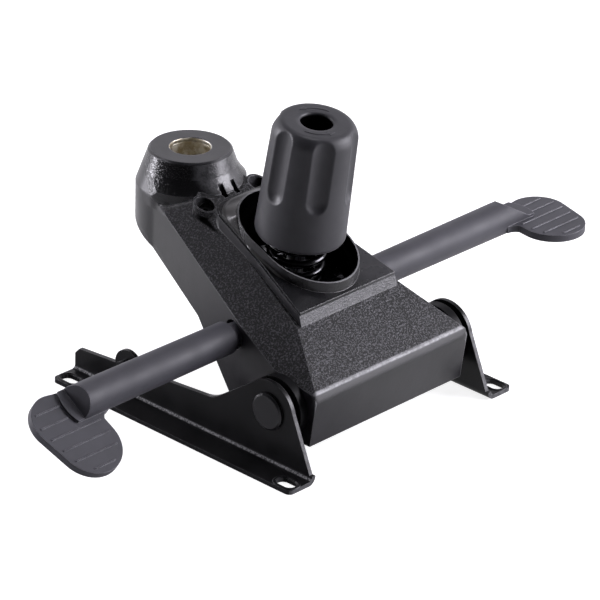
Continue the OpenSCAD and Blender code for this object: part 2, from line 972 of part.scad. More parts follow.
module lock_handle() {
    color([0.085, 0.085, 0.095])
        on_lever(lock_turn)
            mirror([1, 0, 0])
                handle(lock_reach, 13);
}

module height_handle() {
    color([0.085, 0.085, 0.095])
        on_lever(-height_turn)
            handle(height_reach, 29);
}

module lock_spindle() {
    color([0.5, 0.5, 0.52])
        x_rod(-spindle_out + 1, -spindle_in, lever_y, lever_z, spindle_r);
}

module height_spindle() {
    color([0.5, 0.5, 0.52])
        x_rod(spindle_in, spindle_out - 1, lever_y, lever_z, spindle_r);
}

module lock_cam() {
    color([0.25, 0.25, 0.26])
        on_lever(lock_turn)
            difference() {
                union() {
                    x_rod(-crank_x - crank_w, -crank_x, 0, 0, crank_hub_r);
                    translate([-crank_x - crank_w, -6, 0])
                        cube([crank_w, 12, spindle_r + 10]);
                }
                x_rod(-crank_x - crank_w - 1, -crank_x + 1, 0, 0, spindle_r + fit);
            }
}

module height_crank() {
    reach = norm([crank_dy, crank_dz]);
    color([0.25, 0.25, 0.26])
        on_lever(0)
            difference() {
                union() {
                    x_rod(crank_x, crank_x + crank_w, 0, 0, crank_hub_r);
                    x_rod(crank_x, crank_x + crank_w, crank_dy, crank_dz, peg_r);
                    translate([crank_x, 0, 0])
                        rotate([atan2(crank_dz, crank_dy), 0, 0])
                            translate([0, 0, -peg_r + 0.8])
                                cube([crank_w, reach, 2 * peg_r - 1.6]);
                }
                x_rod(crank_x - 1, crank_x + crank_w + 1, 0, 0, spindle_r + fit);
            }
}

module valve_finger() {
    color([0.25, 0.25, 0.26])
        difference() {
            union() {
                intersection() {
                    linear_extrude(height = far)
                        polygon([[crank_x, finger_front], [crank_x + crank_w, finger_front],
                            [crank_x + crank_w, finger_y - 3], [8, finger_rear], [-8, finger_rear],
                            [-8, finger_rear - 14], [crank_x, finger_y - 6]]);
                    along_x(-far / 4, far / 4)
                        polygon([[-100, rim_z(-100) + finger_h - finger_lift],
                            [150, rim_z(150) + finger_h - finger_lift],
                            [150, rim_z(150) + finger_h + finger_lift],
                            [-100, rim_z(-100) + finger_h + finger_lift]]);
                }
                x_rod(crank_x, crank_x + crank_w - 1, finger_y, finger_z, finger_hub_r);
            }
            x_rod(crank_x - 10, crank_x + crank_w + 10, finger_y, finger_z, finger_pin_r + fit);
        }
}

module place() {
    translate([0, -boss_y, -mouth_z])
        children();
}

place() left_bracket();
place() right_bracket();
place() pivot_shaft();
place() pivot_caps();
place() rear_studs();
place() stud_nuts();
place() rocker_arm();
place() key_pin();
place() spring_seat();
place() casing();
place() cone_sleeve();
place() pivot_bushes();
place() spring_cover();
place() roof_screws();
place() anchor_bar();
place() tension_bolt();
place() lever_bushes();
place() stop_rod();
place() finger_pin();
place() tension_spring();
place() thrust_cup();
place() tension_knob();
place() knob_nut();
place() lock_handle();
place() lock_spindle();
place() lock_cam();
place() height_handle();
place() height_spindle();
place() height_crank();
place() valve_finger();
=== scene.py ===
import math
import bpy
import mathutils
import numpy as np
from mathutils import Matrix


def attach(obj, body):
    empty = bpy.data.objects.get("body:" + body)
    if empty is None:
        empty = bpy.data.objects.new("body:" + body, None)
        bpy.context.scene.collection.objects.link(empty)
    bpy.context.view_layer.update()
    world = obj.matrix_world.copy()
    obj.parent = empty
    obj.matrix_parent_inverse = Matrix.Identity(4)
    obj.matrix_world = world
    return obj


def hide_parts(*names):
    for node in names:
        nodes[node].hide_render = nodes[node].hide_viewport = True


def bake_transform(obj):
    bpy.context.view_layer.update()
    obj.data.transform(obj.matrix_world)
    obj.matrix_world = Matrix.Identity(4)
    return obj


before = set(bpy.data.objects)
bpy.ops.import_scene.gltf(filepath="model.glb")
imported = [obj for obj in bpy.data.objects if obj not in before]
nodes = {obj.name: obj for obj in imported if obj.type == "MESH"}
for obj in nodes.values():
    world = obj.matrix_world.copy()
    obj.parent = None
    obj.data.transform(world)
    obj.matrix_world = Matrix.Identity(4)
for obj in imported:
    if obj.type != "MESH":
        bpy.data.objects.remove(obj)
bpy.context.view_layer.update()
scene = bpy.context.scene
print("frame loaded,", len(nodes), "solids")

mm = 0.001
boltFoot = np.array([0.0, -102.2, -24.4]) * mm          # knob skirt centre
boltAxis = np.array([0.0, -0.146083, 0.989272])          # out of the casing, along the tension bolt
boltSide = np.array([1.0, 0.0, 0.0])
boltBack = np.cross(boltAxis, boltSide)


# Mesh making

def gridFaces(rows, cols, wrapRows=False):
    # quads of a rows x cols point grid: columns close on themselves, rows where asked
    i, j = np.meshgrid(np.arange(rows if wrapRows else rows - 1), np.arange(cols), indexing="ij")
    n, k = (i + 1) % rows, (j + 1) % cols
    return np.stack([i * cols + j, i * cols + k, n * cols + k, n * cols + j], -1).reshape(-1, 4)


def putMesh(name, points, faces, body, finish):
    # closed mesh in the part's frame, riding on its body
    mesh = bpy.data.meshes.new(name)
    flat = [tuple(f) for f in faces.tolist()] if isinstance(faces, np.ndarray) else faces
    mesh.from_pydata(points.reshape(-1, 3).tolist(), [], flat)
    mesh.validate()
    mesh.polygons.foreach_set("use_smooth", np.ones(len(mesh.polygons), bool))
    mesh.materials.append(finishes[finish])
    piece = bpy.data.objects.new(name, mesh)
    scene.collection.objects.link(piece)
    if body:
        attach(piece, body)
    return piece


def onBolt(side, back, along):
    # point at side, back and along the bolt's axis, all in mm
    return (boltFoot + mm * (np.multiply.outer(side, boltSide) + np.multiply.outer(back, boltBack)
                             + np.multiply.outer(along, boltAxis)))


def softMin(a, b, k):
    # smooth minimum: min(a, b) rounded over a band of width k
    h = np.clip(0.5 + 0.5 * (b - a) / k, 0, 1)
    return b + (a - b) * h - k * h * (1 - h)


# Finishes

def newFinish(name):
    material = bpy.data.materials.new(name)
    material.use_nodes = True
    tree = material.node_tree
    shader = tree.nodes["Principled BSDF"]
    coord = tree.nodes.new("ShaderNodeTexCoord")
    return material, tree, shader, coord


def addNode(tree, kind, inputs=None, **settings):
    # a socket given as an input is linked, a plain value is set
    node = tree.nodes.new(kind)
    for key, value in settings.items():
        setattr(node, key, value)
    for key, value in (inputs or {}).items():
        if isinstance(value, bpy.types.NodeSocket):
            tree.links.new(value, node.inputs[key])
        else:
            node.inputs[key].default_value = value
    return node


def mathNode(tree, operation, a, b=0.0, clamp=False):
    return addNode(tree, "ShaderNodeMath", {0: a, 1: b}, operation=operation, use_clamp=clamp).outputs[0]


def product(tree, first, *others):
    for value in others:
        first = mathNode(tree, "MULTIPLY", first, value)
    return first


def largest(tree, first, *others):
    for value in others:
        first = mathNode(tree, "MAXIMUM", first, value)
    return first


def ramp(tree, value, low, high, outLow=0.0, outHigh=1.0):
    # smooth step from outLow at low to outHigh at high
    return addNode(tree, "ShaderNodeMapRange", {"Value": value, "From Min": low, "From Max": high,
                   "To Min": outLow, "To Max": outHigh}, interpolation_type="SMOOTHSTEP").outputs["Result"]


def band(tree, value, limits):
    # 0 at the first limit, 1 at the second, both in mm
    return ramp(tree, value, limits[0] * mm, limits[1] * mm)


def noise(tree, coord, scale, detail=2.0, rough=0.5):
    return addNode(tree, "ShaderNodeTexNoise", {"Vector": coord, "Scale": scale, "Detail": detail,
                   "Roughness": rough}).outputs["Fac"]


def layer(tree, factor, below, above):
    # colour above over the colour below, each a socket or a fixed colour
    below, above = (c if isinstance(c, bpy.types.NodeSocket) else (*c, 1) for c in (below, above))
    return addNode(tree, "ShaderNodeMix", {0: factor, 6: below, 7: above}, data_type="RGBA").outputs[2]


def axesOf(tree, vector):
    node = addNode(tree, "ShaderNodeSeparateXYZ", {0: vector})
    return [node.outputs[k] for k in "XYZ"]


def reachOf(tree, a, b, centre=(0.0, 0.0)):
    # distance from a centre given in mm: sqrt((a - c)^2 + (b - d)^2)
    a, b = (mathNode(tree, "SUBTRACT", v, c * mm) if c else v for v, c in zip((a, b), centre))
    square = mathNode(tree, "ADD", product(tree, a, a), product(tree, b, b))
    return mathNode(tree, "SQRT", square)


def edgeMask(tree, radius):
    # how far the rounded normal leaves the true one: 1 along sharp outer edges
    rounded = addNode(tree, "ShaderNodeBevel", {"Radius": radius}, samples=4).outputs["Normal"]
    true = addNode(tree, "ShaderNodeNewGeometry").outputs["Normal"]
    dot = addNode(tree, "ShaderNodeVectorMath", {0: rounded, 1: true}, operation="DOT_PRODUCT")
    return ramp(tree, dot.outputs["Value"], 0.995, 0.8), rounded


def bump(tree, height, distance, normal):
    return addNode(tree, "ShaderNodeBump", {"Height": height, "Distance": distance, "Strength": 1.0,
                   "Normal": normal}).outputs["Normal"]


castSettings = {
    "dark": (0.008, 0.0077, 0.0092), "light": (0.0125, 0.012, 0.0142), "wearAndHighlight": (0.2, 0.2, 0.21),
    "paintedHighlight": (0.27, 0.27, 0.28), "inside": (0.0015, 0.0015, 0.0016),
    "pitShade": (0.0012, 0.0012, 0.0014), "crestHighlight": (0.074, 0.0725, 0.081), "bossCrest": (0.005, 0.005, 0.0055),
    "wearAndHighlightShare": 0.85, "stepHighlightShare": 0.2, "bevelQuiet": 0.2,
    "wallRoughness": (0.30, 0.38), "pebbleRoughness": 0.32, "bossRoughness": 0.22,
    "wallGloss": 0.5, "pebbleGloss": 0.4, "bevelGloss": 0.6,
    "pebbleSize": 1.15, "pebbleHeight": 0.15, "pebbleCut": (0.45, 0.71), "stepGrain": 0.8,
    "bevelRelief": 0.7, "bossRelief": 0.55, "skinHeight": 0.03, "skinScale": 420,
    "edge": 0.9, "blend": 7.0, "brow": 3.2,
}
# where each finish of the casting starts and ends: mm in the part's frame, or a face's slope
castRegions = {
    "steep": (0.10, 0.16), "flat": (0.42, 0.5), "slant": (0.4, 0.55), "chamfer": (-0.78, -0.66),
    "boss": (42.0, 38.0), "face": (2.2, 1.4), "footAbove": (-24.5, -23.5), "footReach": (40.0, 39.0),
    "pad": (25.0, -39.0), "padReach": (9.5, 9.0), "frontPlane": (0.577, 1.461), "front": (-10.7, -9.1),
    "step": (-180.0, -176.0), "roofSlope": 0.4, "sunk": (-5.5, -7.5), "inward": (-2.0, -6.0),
    "hollowFront": (-148.0, -146.0), "hollowRear": (-34.0, -36.0), "hollowSide": (34.0, 32.0),
    "joinMiddle": -2.0, "joinHalf": (16.0, 12.0), "joinBelow": (-20.0, -23.0),
    "ledgeAhead": (-183.5, -185.0), "ledgeAbove": (-98.5, -97.0),
    "brim": (-186.1, -88.1), "brimReach": (1.9, 0.7),
    "post": (72.5, -188.5), "postReach": (1.4, 0.5), "postBelow": (-90.0, -92.5),
}


def castFinish():
    s, r = castSettings, castRegions
    material, tree, shader, coord = newFinish("castPaint")
    obj = coord.outputs["Object"]
    x, y, z = axesOf(tree, obj)
    faceX, faceY, faceZ = axesOf(tree, coord.outputs["Normal"])
    away = mathNode(tree, "ABSOLUTE", x)
    fromAxis = reachOf(tree, x, y)
    boss = band(tree, fromAxis, r["boss"])
    offBoss = mathNode(tree, "SUBTRACT", 1.0, boss)
    # pebbled where the face looks up; on steep faces only ahead of a leaning plane at each side
    lean = mathNode(tree, "ADD", product(tree, away, r["frontPlane"][0]), product(tree, z, r["frontPlane"][1]))
    front = band(tree, mathNode(tree, "SUBTRACT", lean, y), r["front"])
    # the upright foot of the boss and the screw pads are pebbled all round
    foot = product(tree, band(tree, z, r["footAbove"]), band(tree, fromAxis, r["footReach"]))
    pads = band(tree, reachOf(tree, away, y, r["pad"]), r["padReach"])
    steep = largest(tree, ramp(tree, faceZ, *r["steep"]), foot, pads)
    mask = largest(tree, ramp(tree, faceZ, *r["flat"]), product(tree, steep, front))
    # smooth: machined face of the boss and front chamfer; the step below the cover keeps most of its grain
    step = band(tree, y, r["step"])
    grained = largest(tree, ramp(tree, faceY, *r["chamfer"]), product(tree, step, s["stepGrain"]))
    mask = product(tree, mask, band(tree, z, r["face"]), grained)
    # lower relief on the two side bevels and the boss
    slant = product(tree, ramp(tree, mathNode(tree, "ABSOLUTE", faceX), *r["slant"]), offBoss)
    relief = product(tree, mask, ramp(tree, slant, 0, 1, 1.0, s["bevelRelief"]),
                     ramp(tree, boss, 0, 1, 1.0, s["bossRelief"]))
    # painted shade: black and dull inside under the collar, where no light reaches: below the roof plane, in
    # the middle or looking to it
    sunk = band(tree, mathNode(tree, "SUBTRACT", z, product(tree, y, r["roofSlope"])), r["sunk"])
    span = product(tree, band(tree, y, r["hollowFront"]), band(tree, y, r["hollowRear"]))
    inward = largest(tree, band(tree, product(tree, x, faceX), r["inward"]), band(tree, away, r["hollowSide"]))
    inside = product(tree, sunk, span, inward)
    # wide blend where each side wall runs into the boss, rounder front upper edge
    ahead = mathNode(tree, "ABSOLUTE", mathNode(tree, "SUBTRACT", y, r["joinMiddle"] * mm))
    join = product(tree, band(tree, ahead, r["joinHalf"]), band(tree, z, r["joinBelow"]))
    ledge = product(tree, band(tree, y, r["ledgeAhead"]), band(tree, z, r["ledgeAbove"]))
    radius = mathNode(tree, "ADD", ramp(tree, join, 0, 1, s["edge"] * mm, s["blend"] * mm),
                      product(tree, ledge, s["brow"] * mm))
    wearAndHighlight, rounded = edgeMask(tree, radius)
    wearAndHighlight = product(tree, wearAndHighlight, mathNode(tree, "SUBTRACT", 1.0, largest(tree, join, ledge)))
    pebble = ramp(tree, noise(tree, obj, 1 / (s["pebbleSize"] * mm), 1, 0.6), *s["pebbleCut"])
    skin = bump(tree, noise(tree, obj, s["skinScale"], 2), s["skinHeight"] * mm, rounded)
    height = product(tree, pebble, relief)
    tree.links.new(bump(tree, height, s["pebbleHeight"] * mm, skin), shader.inputs["Normal"])
    # colour: clouded paint, a grain over it of painted shade in pits and painted highlight on crests, rubbed
    # edges with a painted highlight over that
    cloud = ramp(tree, noise(tree, obj, 26, 4, 0.6), 0.3, 0.7)
    quiet = mathNode(tree, "ADD", boss, product(tree, slant, s["bevelQuiet"]), True)
    grainShading = layer(tree, quiet, layer(tree, pebble, s["pitShade"], s["crestHighlight"]), s["bossCrest"])
    colour = layer(tree, mask, layer(tree, cloud, s["dark"], s["light"]), grainShading)
    # rubbed edges, also a painted highlight along every sharp edge
    colour = layer(tree, product(tree, wearAndHighlight, s["wearAndHighlightShare"]), colour, s["wearAndHighlight"])
    # painted highlight, in patchy lines: upper front edge and both upright front corners; a weaker painted
    # highlight on the step below the cover
    brim = band(tree, reachOf(tree, y, z, r["brim"]), r["brimReach"])
    post = band(tree, reachOf(tree, away, y, r["post"]), r["postReach"])
    post = product(tree, post, band(tree, z, r["postBelow"]))
    strip = product(tree, ramp(tree, faceY, *reversed(r["chamfer"])), step)
    paintedHighlight = largest(tree, brim, post, product(tree, strip, s["stepHighlightShare"]))
    patchy = ramp(tree, noise(tree, obj, 210, 3, 0.65), 0.32, 0.6, 0.35, 0.9)
    colour = layer(tree, product(tree, paintedHighlight, patchy), colour, s["paintedHighlight"])
    # painted shade: black inside under the collar
    tree.links.new(layer(tree, inside, colour, s["inside"]), shader.inputs["Base Color"])
    # gloss: less on the grain, least on the bevels, none in the painted shade inside
    gloss = ramp(tree, product(tree, mask, offBoss), 0, 1, s["wallGloss"], s["pebbleGloss"])
    gloss = product(tree, gloss, ramp(tree, inside, 0, 1, 1.0, 0.0),
                    ramp(tree, product(tree, slant, mask), 0, 1, 1.0, s["bevelGloss"]))
    tree.links.new(gloss, shader.inputs["Specular IOR Level"])
    wall = ramp(tree, noise(tree, obj, 60, 3), 0.3, 0.7, *s["wallRoughness"])
    dull = ramp(tree, boss, 0, 1, s["pebbleRoughness"], s["bossRoughness"])
    rough = addNode(tree, "ShaderNodeMix", {0: mask, 2: wall, 3: dull}, data_type="FLOAT").outputs[0]
    tree.links.new(rough, shader.inputs["Roughness"])
    return material


# sprayed, moulded or plated skins: two cloud colours, roughness, height and scale of the fine relief
# lengths are in mm
# worn edges and sheared: colour of rubbed edges, also a painted highlight along every sharp edge, and colour
# of cut faces that look forward or back
# hollow: half width, first and last centre of an oval whose inside is painted black as shade
# rim highlight: width and colour of a painted highlight on the land round that oval
# bore: painted shade, black where the mesh's own attribute of that name is 1
# painted reflection: paler patches from and to x, colour
# fold highlight: distance from the middle, height and colour of a speckled painted highlight along a bend
skinSettings = {
    "coverPaint": {"dark": (0.006, 0.006, 0.0067), "light": (0.009, 0.009, 0.010), "rough": (0.24, 0.3),
                   "peel": 0.008, "peelScale": 500, "wearAndHighlight": (0.17, 0.17, 0.176),
                   "paintedReflection": (-5.0, 35.0, (0.042, 0.0416, 0.0445)),
                   "hollow": (32.8, -110.0, -92.0), "rim": (1.2, (0.2, 0.2, 0.206))},
    # lighter copy of the cover paint for the collar's flare: painted light on the flare
    "coverPaintLit": {"dark": (0.03, 0.029, 0.0282), "light": (0.036, 0.0348, 0.034), "rough": (0.26, 0.32),
                  "peel": 0.008, "peelScale": 500, "gloss": 1.0, "hollow": (32.8, -110.0, -92.0)},
    "bracketPaint": {"dark": (0.0034, 0.0034, 0.0038), "light": (0.0054, 0.0054, 0.006), "rough": (0.28, 0.36),
                     "peel": 0.008, "peelScale": 420, "wearAndHighlight": (0.075, 0.075, 0.078), "gloss": 0.22,
                     "sheared": (0.12, 0.12, 0.124), "fold": (87.38, -139.12, (0.2, 0.2, 0.206))},
    "capPaint": {"dark": (0.006, 0.006, 0.0067), "light": (0.0092, 0.0092, 0.0102), "rough": (0.28, 0.36),
                 "peel": 0.008, "peelScale": 420, "wearAndHighlight": (0.12, 0.12, 0.125)},
    "leverPlastic": {"dark": (0.046, 0.0453, 0.053), "light": (0.058, 0.0572, 0.0667), "rough": (0.52, 0.6),
                     "peel": 0.03, "peelScale": 1900, "wearAndHighlight": (0.26, 0.26, 0.28), "edge": 0.8, "gloss": 0.4},
    "knobPlastic": {"dark": (0.024, 0.0237, 0.0278), "light": (0.031, 0.0306, 0.0354), "rough": (0.44, 0.52),
                    "peel": 0.025, "peelScale": 2100, "wearAndHighlight": (0.06, 0.06, 0.066), "bore": True},
    "bushPlastic": {"dark": (0.004, 0.004, 0.0044), "light": (0.007, 0.007, 0.0077), "rough": (0.36, 0.46),
                    "peel": 0.015, "peelScale": 1400, "gloss": 0.1},
    "springSteel": {"dark": (0.04, 0.04, 0.042), "light": (0.07, 0.07, 0.073), "rough": (0.14, 0.22),
                    "peel": 0.008, "peelScale": 900, "metal": 1.0},
    "oxideSteel": {"dark": (0.012, 0.012, 0.0128), "light": (0.022, 0.022, 0.0232), "rough": (0.4, 0.52),
                   "peel": 0.015, "peelScale": 800, "wearAndHighlight": (0.07, 0.07, 0.07), "edge": 0.4, "metal": 0.85},
}
unlit = (0.0012, 0.0012, 0.0013)                         # colour of hollows that no light reaches


def smoothFinish(name, dark, light, rough, peel, peelScale, wearAndHighlight=None, edge=0.6, metal=0.0, cloudScale=30,
                 gloss=0.5, sheared=None, hollow=None, rim=None, bore=False, paintedReflection=None, fold=None):
    material, tree, shader, coord = newFinish(name)
    obj = coord.outputs["Object"]
    x, y, z = axesOf(tree, obj)
    _, faceY, faceZ = axesOf(tree, coord.outputs["Normal"])
    edges, rounded = edgeMask(tree, edge * mm)
    cloud = ramp(tree, noise(tree, obj, cloudScale, 4, 0.6), 0.3, 0.7)
    colour = layer(tree, cloud, dark, light)
    black = None
    # painted reflection: paler patches towards +x
    if paintedReflection:
        patchy = ramp(tree, noise(tree, obj, 90, 4, 0.6), 0.25, 0.6, 0.6, 1.0)
        colour = layer(tree, product(tree, band(tree, x, paintedReflection[:2]), patchy), colour, paintedReflection[2])
    # rubbed edges, also a painted highlight along every sharp edge
    if wearAndHighlight:
        broken = ramp(tree, noise(tree, obj, 180, 3, 0.65), 0.35, 0.6, 0.35, 1.0)
        colour = layer(tree, product(tree, edges, broken), colour, wearAndHighlight)
    if sheared:
        cut = ramp(tree, mathNode(tree, "ABSOLUTE", faceY), 0.6, 0.75)
        streak = ramp(tree, noise(tree, obj, 240, 3, 0.6), 0.3, 0.65, 0.45, 1.0)
        colour = layer(tree, product(tree, cut, streak), colour, sheared)
    # painted highlight: speckled bright line along the bend
    if fold:
        near = band(tree, reachOf(tree, mathNode(tree, "ABSOLUTE", x), z, fold[:2]), (1.3, 0.4))
        speck = ramp(tree, noise(tree, obj, 700, 2, 0.6), 0.4, 0.62, 0.15, 1.0)
        colour = layer(tree, product(tree, near, speck), colour, fold[2])
    if hollow:
        half, first, last = hollow
        along = addNode(tree, "ShaderNodeClamp", {"Value": y, "Min": first * mm, "Max": last * mm}).outputs[0]
        reach = reachOf(tree, x, mathNode(tree, "SUBTRACT", y, along))
        # painted highlight on the land round the oval
        if rim:
            outer = half + rim[0]
            land = product(tree, band(tree, reach, (outer + 0.3, outer)), ramp(tree, faceZ, 0.55, 0.75))
            colour = layer(tree, land, colour, rim[1])
        # painted shade: black inside the oval
        black = band(tree, reach, (half + 0.4, half + 0.1))
    # painted shade: black inside the bore
    if bore:
        black = addNode(tree, "ShaderNodeAttribute", attribute_name="bore").outputs["Fac"]
    shader.inputs["Metallic"].default_value = metal
    shader.inputs["Specular IOR Level"].default_value = gloss
    if black is not None:
        colour = layer(tree, black, colour, unlit)
        tree.links.new(ramp(tree, black, 0, 1, gloss, 0.0), shader.inputs["Specular IOR Level"])
    tree.links.new(colour, shader.inputs["Base Color"])
    smear = ramp(tree, noise(tree, obj, cloudScale * 2.3, 3), 0.3, 0.7, *rough)
    tree.links.new(smear, shader.inputs["Roughness"])
    relief = bump(tree, noise(tree, obj, peelScale, 3, 0.6), peel * mm, rounded)
    tree.links.new(relief, shader.inputs["Normal"])
    return material


# bare metals with fine turning marks of the given pitch along an axis
turnedSettings = {
    "zincSteel": {"dark": (0.42, 0.42, 0.44), "light": (0.56, 0.56, 0.57), "rough": (0.24, 0.4),
                  "axis": "x", "pitch": 0.35, "cloudScale": 60},
    "sleeveBrass": {"dark": (0.52, 0.45, 0.31), "light": (0.97, 0.94, 0.85), "rough": (0.36, 0.5),
                    "axis": "z", "pitch": 0.4, "cloudScale": 130},
}


def turnedFinish(name, dark, light, rough, axis, pitch, cloudScale):
    material, tree, shader, coord = newFinish(name)
    obj = coord.outputs["Object"]
    # noise squeezed along the axis gives rings
    squeeze = 40.0
    stretch = [squeeze if k == axis else 1.0 for k in "xyz"]
    turned = addNode(tree, "ShaderNodeMapping", {"Vector": obj, "Scale": stretch}).outputs[0]
    marks = noise(tree, turned, 1 / (pitch * mm) / squeeze, 2)
    cloud = ramp(tree, noise(tree, obj, cloudScale, 4, 0.6), 0.35, 0.62)
    tree.links.new(layer(tree, cloud, dark, light), shader.inputs["Base Color"])
    tree.links.new(ramp(tree, marks, 0.3, 0.7, *rough), shader.inputs["Roughness"])
    shader.inputs["Metallic"].default_value = 1.0
    rounded = edgeMask(tree, 0.4 * mm)[1]
    tree.links.new(bump(tree, marks, 0.01 * mm, rounded), shader.inputs["Normal"])
    return material


finishes = {"castPaint": castFinish()}
finishes.update({name: smoothFinish(name, **s) for name, s in skinSettings.items()})
finishes.update({name: turnedFinish(name, **s) for name, s in turnedSettings.items()})

finishOf = {
    "castPaint": ["casing"], "coverPaint": ["spring_cover"], "bracketPaint": ["left_bracket", "right_bracket"],
    "capPaint": ["pivot_caps"], "leverPlastic": ["lock_handle", "height_handle"],
    "knobPlastic": ["tension_knob"], "bushPlastic": ["pivot_bushes", "lever_bushes"],
    "sleeveBrass": ["cone_sleeve"], "springSteel": ["tension_spring"],
    "zincSteel": ["pivot_shaft", "key_pin", "tension_bolt", "knob_nut", "lock_spindle", "height_spindle",
                  "finger_pin", "stop_rod", "rear_studs"],
}
for solid in nodes.values():                             # every solid not named above is black oxide steel
    solid.data.materials.clear()
    solid.data.materials.append(finishes["oxideSteel"])
for finish, names in finishOf.items():
    for name in names:
        nodes[name].data.materials[0] = finishes[finish]
print("finishes set")


# Main spring: a tube of radius w carried along a helix of radius R
springSettings = {"coilRadius": 17.75, "wire": 5.5, "turns": 7.5, "start": -63.5, "end": 11.7, "around": 20,
                  "perTurn": 40, "phase": 0.29}


def mainSpring():
    s = springSettings
    w = s["wire"] / 2
    t = np.linspace(0, s["turns"], int(s["turns"] * s["perTurn"]) + 1)
    a = 2 * np.pi * (t - s["phase"])
    run = s["end"] - s["start"] - s["wire"]
    rise = run / s["turns"] / (2 * np.pi * s["coilRadius"])
    b = np.linspace(0, 2 * np.pi, s["around"], endpoint=False)
    # ring: out along the radius by w cos b, along the coil's binormal by w sin b
    outR = s["coilRadius"] + w * np.cos(b)[None, :]
    lift = w * np.sin(b)[None, :] / math.hypot(1, rise)
    twist = -rise * lift
    side = outR * np.cos(a)[:, None] - twist * np.sin(a)[:, None]
    back = outR * np.sin(a)[:, None] + twist * np.cos(a)[:, None]
    along = s["start"] + w + (run * t / s["turns"])[:, None] + lift + 0 * outR
    points = onBolt(side, back, along)
    faces = gridFaces(len(t), s["around"])[:, ::-1].tolist()
    ends = [list(range(s["around"])), list(range((len(t) - 1) * s["around"], len(t) * s["around"]))[::-1]]
    piece = putMesh("mainSpring", points, faces + ends, None, "springSteel")
    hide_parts("tension_spring")
    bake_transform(piece)
    return piece


mainSpring()
print("spring wound")


# Tension knob: profile turned about the bolt, flutes cut in by round grooves of radius R at distance c(s)
knobSettings = {
    "skirt": [(22.5, 17.3), (22.5, 0.4), (22.9, 0.0), (29.7, 0.0)],
    "outer": [(29.7, 0.0), (30.5, 1.2), (28.4, 75.1), (27.9, 77.5), (26.4, 80.5), (24.3, 82.9), (22.6, 83.7)],
    "top": [(22.6, 83.7), (11.7, 83.7), (11.0, 83.0), (11.0, 17.3)],
    "flutes": 6, "phase": -3.8, "grooveRadius": 12.0, "grooveFoot": 38.5, "grooveAxis": 38.2,
    "grooveSlope": 0.03293,
    "soft": 0.9, "easing": 17, "boreBand": (0.3, 82.6), "around": 360, "rows": 150,
}


def densePath(corners, count):
    # points spread evenly along a polyline
    c = np.array(corners, float)
    run = np.concatenate([[0], np.cumsum(np.hypot(*np.diff(c, axis=0).T))])
    t = np.linspace(0, run[-1], count)
    return np.stack([np.interp(t, run, c[:, 0]), np.interp(t, run, c[:, 1])], -1)


def grippedKnob():
    s = knobSettings
    path = densePath(s["outer"], s["rows"] * 4)
    # corners eased by a running mean 2.4 mm long, ends held
    count, trim = s["easing"], s["easing"] // 2
    ease = np.ones(count) / count
    eased = np.stack([np.convolve(np.pad(path[:, k], trim, mode="edge"), ease, "valid") for k in (0, 1)], -1)
    outer = np.concatenate([path[:1], eased[trim:-trim:4], path[-1:]])
    inner = np.concatenate([densePath(s["top"], 40)[1:], [(11.0, 17.3)], densePath(s["skirt"], 16)])
    path = np.concatenate([outer, inner])
    r, h = path[:, 0][:, None], path[:, 1][:, None]
    a = np.linspace(0, 2 * np.pi, s["around"], endpoint=False)[None, :]
    pitch = 2 * np.pi / s["flutes"]
    d = (a - math.radians(s["phase"]) + pitch / 2) % pitch - pitch / 2
    # groove wall: r = c cos d - sqrt(R^2 - c^2 sin^2 d), R shrinking as a ball below the groove's foot
    c = s["grooveAxis"] - np.maximum(h - s["grooveFoot"], 0) * s["grooveSlope"]
    bite = s["grooveRadius"] ** 2 - np.maximum(s["grooveFoot"] - h, 0) ** 2 - (c * np.sin(d)) ** 2
    groove = np.where(bite > 0, c * np.cos(d) - np.sqrt(np.maximum(bite, 0)), 60.0)
    onSide = (np.arange(len(path)) < len(outer))[:, None] & (r > 22.0)
    radius = np.where(onSide, softMin(r, groove, s["soft"]), r + 0 * groove)
    points = onBolt(radius * np.cos(a), radius * np.sin(a), h + 0 * a)
    faces = gridFaces(len(path), s["around"], wrapRows=True)
    piece = putMesh("grippedKnob", points, faces, "knob", "knobPlastic")
    # bore: 1 inside the nut's recess and the skirt, painted black there as shade; 0 on every outer face
    low, high = s["boreBand"]
    deep = (np.arange(len(path)) >= len(outer)) & (path[:, 1] < high) & (path[:, 1] > low)
    field = piece.data.attributes.new("bore", "FLOAT", "POINT")
    field.data.foreach_set("value", np.repeat(deep.astype(np.float32), s["around"]))
    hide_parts("tension_knob")
    return piece


# Turning marks on the knob's top: a rounded bar bent to an arc, ending in an arrow head
arrowSettings = {"radius": 16.8, "shaft": 0.75, "head": 2.1, "headFrom": 0.76, "height": 0.32, "span": 74.0,
                 "middles": (-128.0, 52.0), "along": 72, "across": 14, "level": 83.7}


def knobArrows():
    s = arrowSettings
    u = np.linspace(0, 1, s["along"])
    # half width: even shaft, then a head narrowing to the tip
    half = np.where(u < s["headFrom"], s["shaft"], s["head"] * (1 - u) / (1 - s["headFrom"]) + 0.05)
    half[0] *= 0.4
    b = np.linspace(0, 2 * np.pi, s["across"], endpoint=False)
    wide = np.sign(np.cos(b)) * np.abs(np.cos(b)) ** 0.5
    tall = np.sign(np.sin(b)) * np.abs(np.sin(b)) ** 0.5
    for k, middle in enumerate(s["middles"]):
        angle = np.radians(middle + s["span"] * (u - 0.5))[:, None]
        radius = s["radius"] + half[:, None] * wide[None, :]
        level = s["level"] + s["height"] * tall[None, :] * np.minimum(1, half / s["shaft"])[:, None]
        points = onBolt(radius * np.cos(angle), radius * np.sin(angle), level)
        faces = gridFaces(len(u), s["across"]).tolist()
        last = (len(u) - 1) * s["across"]
        ends = [list(range(s["across"])), list(range(last, last + s["across"]))[::-1]]
        putMesh("knobArrow_" + str(k + 1), points, [f[::-1] for f in faces] + ends, "knob",
                "knobPlastic")


grippedKnob()
knobArrows()
print("knob shaped")


